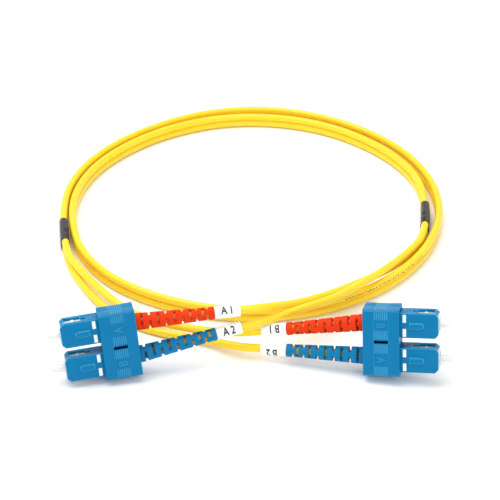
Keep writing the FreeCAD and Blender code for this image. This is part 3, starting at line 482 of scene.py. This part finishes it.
def sweepTube(name, points, outline, material):
    # rings of the outline along the points, upright as the cord lies; UVs run in mm along and around
    bm = bmesh.new()
    layer = bm.loops.layers.uv.new("alongAround")
    rings, reach = [], 0.0
    for i, point in enumerate(points):
        ahead = points[min(i + 1, len(points) - 1)] - points[max(i - 1, 0)]
        ahead.normalize()
        up = (Vector((0, 0, 1)) - ahead * ahead.z).normalized()
        side = ahead.cross(up)
        if i:
            reach += (point - points[i - 1]).length
        shape = outline(reach / mm)
        rings.append((reach / mm, shape, [bm.verts.new(point + side * x + up * z) for x, z in shape]))
    for (startMm, shape, ring), (endMm, _, following) in zip(rings, rings[1:]):
        around = [0.0]
        for a, b in zip(shape, shape[1:] + shape[:1]):
            around.append(around[-1] + math.hypot(b[0] - a[0], b[1] - a[1]) / mm)
        for k in range(len(ring)):
            n = (k + 1) % len(ring)
            face = bm.faces.new((ring[k], ring[n], following[n], following[k]))
            face.smooth = True
            for loop, uv in zip(face.loops, ((startMm, around[k]), (startMm, around[k + 1]),
                                             (endMm, around[k + 1]), (endMm, around[k]))):
                loop[layer].uv = uv
    bm.faces.new(list(reversed(rings[0][2])))
    bm.faces.new(rings[-1][2])
    bmesh.ops.triangulate(bm, faces=[face for face in bm.faces if len(face.verts) > 4])
    bmesh.ops.recalc_face_normals(bm, faces=bm.faces)
    mesh = bpy.data.meshes.new(name)
    bm.to_mesh(mesh)
    bm.free()
    return meshObject(name, mesh, material)


def lobeOutline(leg):
    radius, count = cordSizes["lobe"] / 2 * mm, cordMesh["round"]
    toMate = -leg["lobe"] * 90

    def shape(reachMm):
        # the fin faces the other lobe in the sleeve and winds away from it towards the plug
        height = noise.noise(Vector((reachMm * tornWeb["perMm"], leg["fin"], 0)))
        ragged = tornWeb["usual"] + tornWeb["vary"] * height
        turn = math.radians(toMate + leg["fin"] * max(0.0, 1 - reachMm / leg["lengthMm"]))
        corners = []
        for k in range(count):
            angle = 2 * math.pi * k / count + turn
            proud = tornWeb["proud"] * ragged * mm if k == 0 else 0.0
            corners.append(((radius + proud) * math.cos(angle), (radius + proud) * math.sin(angle)))
        return corners
    return shape


def twinOutline(reachMm):
    # a figure eight on end: two lobes with a thin web between them
    radius, half, count = cordSizes["lobe"] / 2, cordSizes["lobePitch"] / 2, cordMesh["lobeRound"]
    pinch = math.asin(cordSizes["web"] / 2 / radius)
    corners = []
    for side in (1, -1):
        for k in range(count + 1):
            angle = -math.pi / 2 + pinch + (2 * math.pi - 2 * pinch) * k / count
            corners.append((side * radius * math.cos(angle) * mm,
                            side * (half + radius * math.sin(angle)) * mm))
    return corners


def stadiumOutline(across, tall):
    count = cordMesh["endRound"]

    def shape(reachMm):
        corners = []
        for side in (1, -1):
            for k in range(count + 1):
                angle = math.pi * k / count
                corners.append((side * across / 2 * math.cos(angle),
                                side * ((tall - across) / 2 + across / 2 * math.sin(angle))))
        return corners
    return shape


legPieces, legPaths = {}, {}
for plugName, leg in legs.items():
    axis = bootFrame(plugName)
    startX = plugSizes["pivot"] - plugSizes["cordStart"]
    held = -(markerSizes["start"] + markerSizes["long"])  # the marker sleeve's far end, on the straight stretch
    controls = [axis @ Vector((x * mm, 0, 0)) for x in (startX, held, startX - plugSizes["straight"])]
    controls += [Vector(place) * mm for place in leg["route"]]
    controls += [splitPoint(leg["sleeve"], -cordSizes["legRun"], leg["lobe"]),
                 splitPoint(leg["sleeve"], 0, leg["lobe"])]
    points = followSpline("legLine_" + plugName, controls, cordMesh["legSteps"])
    leg["lengthMm"] = pathLength(points) / mm
    legPaths[plugName] = points
    legPieces[plugName] = sweepTube("legJacket_" + plugName, points, lobeOutline(leg), finishes[leg["jacket"]])
    print("leg", plugName, "%.1f mm" % leg["lengthMm"])

twinControls = [splitPoint("b", 0)] + [Vector((x, y, cordSizes["lie"])) * mm for x, y in twinRoute]
twinPath = followSpline("twinLine", twinControls + [splitPoint("a", 0)], cordMesh["twinSteps"])
twinPiece = sweepTube("twinJacket", twinPath, twinOutline, finishes["jacketPrinted"])
print("twin cord %.1f mm" % (pathLength(twinPath) / mm))

sleeveSizes = {"long": 18.0, "across": 3.7, "tall": 6.9, "legRings": 14}


def nearest(points, reach, fromEnd):
    # the stretch of a path within reach of one of its ends, in path order
    ordered = list(reversed(points)) if fromEnd else list(points)
    kept, run = [ordered[0]], 0.0
    for a, b in zip(ordered, ordered[1:]):
        run += (b - a).length
        if run > reach:
            break
        kept.append(b)
    return list(reversed(kept)) if fromEnd else kept


def splitSleeve(end):
    # drawn in by heat: it follows the legs on one side of the split and the twin cord on the other
    half, count = sleeveSizes["long"] / 2 * mm, sleeveSizes["legRings"]
    first, second = [nearest(legPaths[plugName], half, True) for plugName in legs if legs[plugName]["sleeve"] == end]
    middle = [(first[round(i * (len(first) - 1) / count)] + second[round(i * (len(second) - 1) / count)]) / 2
              for i in range(count)]
    twin = nearest(twinPath, half, end == "a")
    if end == "a":
        twin.reverse()
    outline = stadiumOutline(sleeveSizes["across"] * mm, sleeveSizes["tall"] * mm)
    return sweepTube("splitShrink_" + end, middle + twin, outline, finishes["shrink"])


sleevePieces = {end: splitSleeve(end) for end in "ab"}
for end, piece in sleevePieces.items():
    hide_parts("split_sleeve_" + end)
    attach(piece, "cord")
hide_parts("twin_cord")
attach(twinPiece, "cord")
pathLength(twinPath)
for plugName, piece in legPieces.items():
    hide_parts("leg_" + plugName)
    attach(piece, "cord")
print("cords laid")

# mm and degrees: edges sharper than the angle are rounded, and shading breaks at the sharp angle
mouldEdges = {"merge": 0.002, "flat": 0.5, "angle": 35.0, "sharp": 28.0}
mouldings = {
    "grip": dict(radius=0.14, steps=2, slot="grip_blue", looks=("grip", "edge")),
    "frame": dict(radius=0.08, steps=1, slot="frame_white", looks=("frame",)),
    "clip": dict(radius=0.1, steps=2, slot="clip_blue", looks=("clip", "edge", "paintedSlotShade")),
}
clipGrooves = {"middle": -6.45, "reach": 2.7, "side": 11.8, "band": 5.12, "floor": 4.8, "latch": 1.25}
nodeLooks = {"ferrule": "ceramic", "ferrule_flange": "nickel", "rear_body": "nickel", "crimp_ring": "aluminium",
             "dust_cap": "cap", "marker_sleeve": "marker"}


def softenedNode(nodeName, newName, kind, body, lookAt=None):
    # a merged copy of the CAD node with its mould edges rounded; lookAt picks a face's look by its middle
    moulding = mouldings[kind]
    bm = bmesh.new()
    bm.from_mesh(nodes[nodeName].data)
    bmesh.ops.remove_doubles(bm, verts=bm.verts, dist=mouldEdges["merge"] * mm)
    bmesh.ops.dissolve_limit(bm, angle_limit=math.radians(mouldEdges["flat"]), verts=bm.verts, edges=bm.edges)
    looks = [lookAt(face.calc_center_median()) if lookAt else 0 for face in bm.faces]
    mesh = bpy.data.meshes.new(newName)
    bm.to_mesh(mesh)
    bm.free()
    first, *others = [finishes[look] for look in moulding["looks"]]
    piece = meshObject(newName, mesh, first)
    for other in others:
        mesh.materials.append(other)
    mesh.polygons.foreach_set("material_index", looks)
    bevel = piece.modifiers.new("mouldEdges", "BEVEL")
    bevel.width = moulding["radius"] * mm
    bevel.segments = moulding["steps"]
    bevel.limit_method = "ANGLE"
    bevel.angle_limit = math.radians(mouldEdges["angle"])
    # where there is a second look, the rounded edges take it, a painted highlight
    bevel.material = 1 if others else -1
    rounded = plainMesh(piece)
    piece.modifiers.clear()
    piece.data = rounded
    rounded.shade_smooth()
    rounded.set_sharp_from_angle(angle=math.radians(mouldEdges["sharp"]))
    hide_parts(nodeName)
    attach(piece, body)


def keySideLook(end):
    # 1, a painted highlight, on the walls of the finger grooves, which are deeper than the sunk band on the key
    # face; 2, a painted shade, in the latch slot
    toPair = pairs[end].inverted()

    def lookAt(point):
        x, y, z = (toPair @ point) / mm
        if abs(x - clipGrooves["middle"]) > clipGrooves["reach"] or abs(z) > clipGrooves["side"]:
            return 0
        if clipGrooves["floor"] < -y < clipGrooves["band"]:
            return 1
        return 2 if abs(z) < clipGrooves["latch"] and 0 < -y < clipGrooves["floor"] else 0
    return lookAt


for plugName, plug in plugs.items():
    softenedNode("grip_sleeve_" + plugName, "gripShell_" + plugName, "grip", "grips_" + plugName[0])
    softenedNode("plug_frame_" + plugName, "innerFrame_" + plugName, "frame", "cord")
    for nodeName, look in [("boot", plug["boot"]), *nodeLooks.items()]:
        mesh = nodes["%s_%s" % (nodeName, plugName)].data
        mesh.materials.clear()
        mesh.materials.append(finishes[look])
for end in "ab":
    softenedNode("clip_key_half_" + end, "clipKeySide_" + end, "clip", "grips_" + end, keySideLook(end))
    softenedNode("clip_back_half_" + end, "clipBackSide_" + end, "clip", "grips_" + end)
print("moulded pieces dressed")

clipLetters = {"height": 3.1, "narrow": 0.78, "proud": 0.22, "face": 5.13, "middle": -6.45, "A": -6.1, "B": 6.6}
fontSizes = {"capital": 0.7, "curve": 4, "merge": 0.0005}  # height of a capital in a font of size 1


def strokeMesh(name, text, height, narrow, thick, bold):
    # the letters as a flat mesh of even thickness, capitals of the given height, middle at the origin
    curve = bpy.data.curves.new(name, "FONT")
    curve.body = text
    curve.size = height * mm / fontSizes["capital"]
    curve.extrude = thick / 2 * mm
    curve.offset = bold * mm
    curve.resolution_u = fontSizes["curve"]
    curve.align_x = "CENTER"
    holder = placeObject(name, curve)
    mesh = plainMesh(holder)
    bpy.data.objects.remove(holder)
    bpy.data.curves.remove(curve)
    mesh.transform(Matrix.Diagonal((narrow, 1, 1, 1)) @ Matrix.Translation((0, -height / 2 * mm, 0)))
    bm = bmesh.new()
    bm.from_mesh(mesh)
    bmesh.ops.remove_doubles(bm, verts=bm.verts, dist=fontSizes["merge"] * mm)
    bmesh.ops.triangulate(bm, faces=bm.faces)
    bm.to_mesh(mesh)
    bm.free()
    return mesh


def joinedPiece(name, meshes, material, body, smoothAngle=None):
    bm = bmesh.new()
    for mesh in meshes:
        bm.from_mesh(mesh)
        bpy.data.meshes.remove(mesh)
    mesh = bpy.data.meshes.new(name)
    bm.to_mesh(mesh)
    bm.free()
    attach(meshObject(name, mesh, material, smoothAngle), body)


for end, pair in pairs.items():
    letters = []
    for letter in "AB":
        mesh = strokeMesh("clipLetter_%s_%s" % (letter, end), letter, clipLetters["height"], clipLetters["narrow"],
                          2 * clipLetters["proud"], 0.0)
        # read along -Z of the pair, with their tops to the nose
        stand = Matrix(((0, 1, 0), (0, 0, -1), (-1, 0, 0))).to_4x4()
        stand.translation = Vector((clipLetters["middle"], -clipLetters["face"], clipLetters[letter])) * mm
        mesh.transform(pair @ stand)
        letters.append(mesh)
    # the letters take the lighter blue, a painted highlight
    joinedPiece("raisedLetters_" + end, letters, finishes["letter"], "grips_" + end)


def startGroup(name, kinds):
    tree = bpy.data.node_groups.new(name, "GeometryNodeTree")
    tree.interface.new_socket("Geometry", in_out="OUTPUT", socket_type="NodeSocketGeometry")
    sockets = {title: tree.interface.new_socket(title, in_out="INPUT", socket_type="NodeSocket" + kind).identifier
               for title, kind in kinds.items()}
    return tree, sockets, addNode(tree, "NodeGroupInput").outputs


def endGroup(tree, geometry, material):
    real = addNode(tree, "GeometryNodeRealizeInstances", {"Geometry": geometry})
    dressed = addNode(tree, "GeometryNodeSetMaterial", {"Geometry": real.outputs[0], "Material": material})
    addNode(tree, "NodeGroupOutput", {"Geometry": dressed.outputs[0]})


def grownMesh(tree, sockets, values):
    # what the group makes, as a plain mesh
    holder = placeObject(tree.name, bpy.data.meshes.new(tree.name))
    made = holder.modifiers.new(tree.name, "NODES")
    made.node_group = tree
    for title, value in values.items():
        made[sockets[title]] = value
    mesh = plainMesh(holder)
    bpy.data.objects.remove(holder)
    return mesh


springSizes = {"turns": 4.0, "meanMm": 4.0, "wireMm": 0.4, "rearMm": 2.75, "longMm": 5.45, "pressMm": 1.0}
springMesh = {"perTurn": 36, "wireRound": 12, "smooth": 60}


def coilGroup(material):
    # a wire swept along a spiral that stands on its rear end
    tree, sockets, given = startGroup("coilSpring", {"Turns": "Float", "Coil Radius": "Float", "Height": "Float",
                                                     "Wire Radius": "Float"})
    spiral = addNode(tree, "GeometryNodeCurveSpiral", {"Resolution": springMesh["perTurn"],
                                                       "Rotations": given["Turns"],
                                                       "Start Radius": given["Coil Radius"],
                                                       "End Radius": given["Coil Radius"],
                                                       "Height": given["Height"]})
    section = addNode(tree, "GeometryNodeCurvePrimitiveCircle", {"Resolution": springMesh["wireRound"],
                                                                 "Radius": given["Wire Radius"]})
    wire = addNode(tree, "GeometryNodeCurveToMesh", {"Curve": spiral.outputs[0],
                                                     "Profile Curve": section.outputs[0], "Fill Caps": True})
    endGroup(tree, wire.outputs[0], material)
    return tree, sockets


coilTree, coilSockets = coilGroup(finishes["steel"])
for plugName in plugs:
    place = plugFrame(plugName)
    mesh = grownMesh(coilTree, coilSockets, {"Turns": springSizes["turns"],
                                             "Coil Radius": springSizes["meanMm"] / 2 * mm,
                                             "Height": springSizes["longMm"] * mm,
                                             "Wire Radius": springSizes["wireMm"] / 2 * mm})
    mesh.transform(place @ Matrix.Translation((springSizes["rearMm"] * mm, 0, 0))
                   @ Matrix.Rotation(math.pi / 2, 4, "Y"))
    piece = meshObject("springCoil_" + plugName, mesh, finishes["steel"], springMesh["smooth"])
    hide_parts("spring_" + plugName)
    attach(piece, "cord")
    # the point at the rear of the coil, and a mesh of its own for the piece
    rear = place @ Vector(((springSizes["rearMm"] - springSizes["wireMm"] / 2) * mm, 0, 0))
    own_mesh(piece)
print("springs wound")

fingerRibs = {"count": 7, "pitchMm": 0.7, "longMm": 8.6, "acrossMm": 0.3, "middle": -6.45, "face": 12.08}
ribMesh = {"round": 12, "smooth": 40}


def ribGroup(material):
    # a row of half-sunk round bars along X, each lying along Y
    tree, sockets, given = startGroup("fingerRibs", {"Count": "Int", "Pitch": "Float", "Length": "Float",
                                                     "Radius": "Float"})
    step = addNode(tree, "ShaderNodeCombineXYZ", {"X": given["Pitch"]})
    row = addNode(tree, "GeometryNodeMeshLine", {"Count": given["Count"], "Offset": step.outputs[0]})
    bar = addNode(tree, "GeometryNodeMeshCylinder", {"Vertices": ribMesh["round"],
                                                     "Radius": given["Radius"],
                                                     "Depth": given["Length"]})
    laid = addNode(tree, "GeometryNodeTransform", {"Geometry": bar.outputs["Mesh"],
                                                   "Rotation": (math.pi / 2, 0.0, 0.0)})
    placed = addNode(tree, "GeometryNodeInstanceOnPoints", {"Points": row.outputs[0],
                                                            "Instance": laid.outputs[0]})
    endGroup(tree, placed.outputs[0], material)
    return tree, sockets


# the ribs are drawn in the lighter edge blue, a painted highlight along each
ribTree, ribSockets = ribGroup(finishes["edge"])
firstRib = fingerRibs["middle"] - fingerRibs["pitchMm"] * (fingerRibs["count"] - 1) / 2
for end in "ab":
    rows = []
    for side in (1, -1):
        mesh = grownMesh(ribTree, ribSockets, {"Count": fingerRibs["count"], "Pitch": fingerRibs["pitchMm"] * mm,
                                               "Length": fingerRibs["longMm"] * mm,
                                               "Radius": fingerRibs["acrossMm"] / 2 * mm})
        mesh.transform(pairs[end] @ Matrix.Translation(Vector((firstRib, 0, side * fingerRibs["face"])) * mm))
        rows.append(mesh)
    joinedPiece("fingerRibs_" + end, rows, finishes["edge"], "grips_" + end, ribMesh["smooth"])

gripMarks = {"face": 3.7, "from": 1.1, "long": 1.2, "inner": 1.15, "outer": 4.0, "proud": 0.03, "sunk": 0.02}


def boxMesh(name, low, high, place):
    bm = bmesh.new()
    bmesh.ops.create_cube(bm, size=1.0)
    for vertex in bm.verts:
        vertex.co = Vector([(a + b) / 2 + c * (b - a) for a, b, c in zip(low, high, vertex.co)]) * mm
    mesh = bpy.data.meshes.new(name)
    bm.to_mesh(mesh)
    bm.free()
    mesh.transform(place)
    return mesh


for end in "ab":
    marks = []
    for plugName in (end + "1", end + "2"):
        for low, high in ((-gripMarks["outer"], -gripMarks["inner"]), (gripMarks["inner"], gripMarks["outer"])):
            front = (gripMarks["from"], -gripMarks["face"] - gripMarks["proud"], low)
            rear = (gripMarks["from"] + gripMarks["long"], -gripMarks["face"] + gripMarks["sunk"], high)
            marks.append(boxMesh("mark", front, rear, plugFrame(plugName)))
    joinedPiece("paintedMarks_" + end, marks, finishes["paint"], "grips_" + end)

labelText = {"height": 3.0, "narrow": 0.72, "thick": 0.06, "bold": 0.11, "radius": 2.25, "cuts": 9, "spread": 0.6}
for plugName, plug in plugs.items():
    axis = bootFrame(plugName)
    reading = -axis.col[0].xyz  # from the boot to the far end of the marker
    facing = (towardsView - reading * towardsView.dot(reading)).normalized()
    above = facing.cross(reading)
    raised = math.radians(plug["raised"] if above.z > 0 else -plug["raised"])
    mesh = strokeMesh("label_" + plugName, plug["label"], labelText["height"], labelText["narrow"],
                      labelText["thick"], labelText["bold"])
    # cut into strips, so that the letters can follow the round marker
    bm = bmesh.new()
    bm.from_mesh(mesh)
    for step in range(-labelText["cuts"], labelText["cuts"] + 1):
        cut = step * labelText["height"] * labelText["spread"] / labelText["cuts"] * mm
        bmesh.ops.bisect_plane(bm, geom=bm.verts[:] + bm.edges[:] + bm.faces[:], plane_co=(0, cut, 0),
                               plane_no=(0, 1, 0))
    bmesh.ops.triangulate(bm, faces=bm.faces)
    middle = axis @ Vector((-(markerSizes["start"] + markerSizes["long"] * plug["along"]) * mm, 0, 0))
    for vertex in bm.verts:
        turn = vertex.co.y / (labelText["radius"] * mm) + raised
        direction = facing * math.cos(turn) + above * math.sin(turn)
        vertex.co = middle + reading * vertex.co.x + direction * (labelText["radius"] * mm + vertex.co.z)
    bm.to_mesh(mesh)
    bm.free()
    piece = meshObject("printedLabel_" + plugName, mesh, finishes["ink"])
    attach(piece, "cord")
print("letters, marks and labels placed")
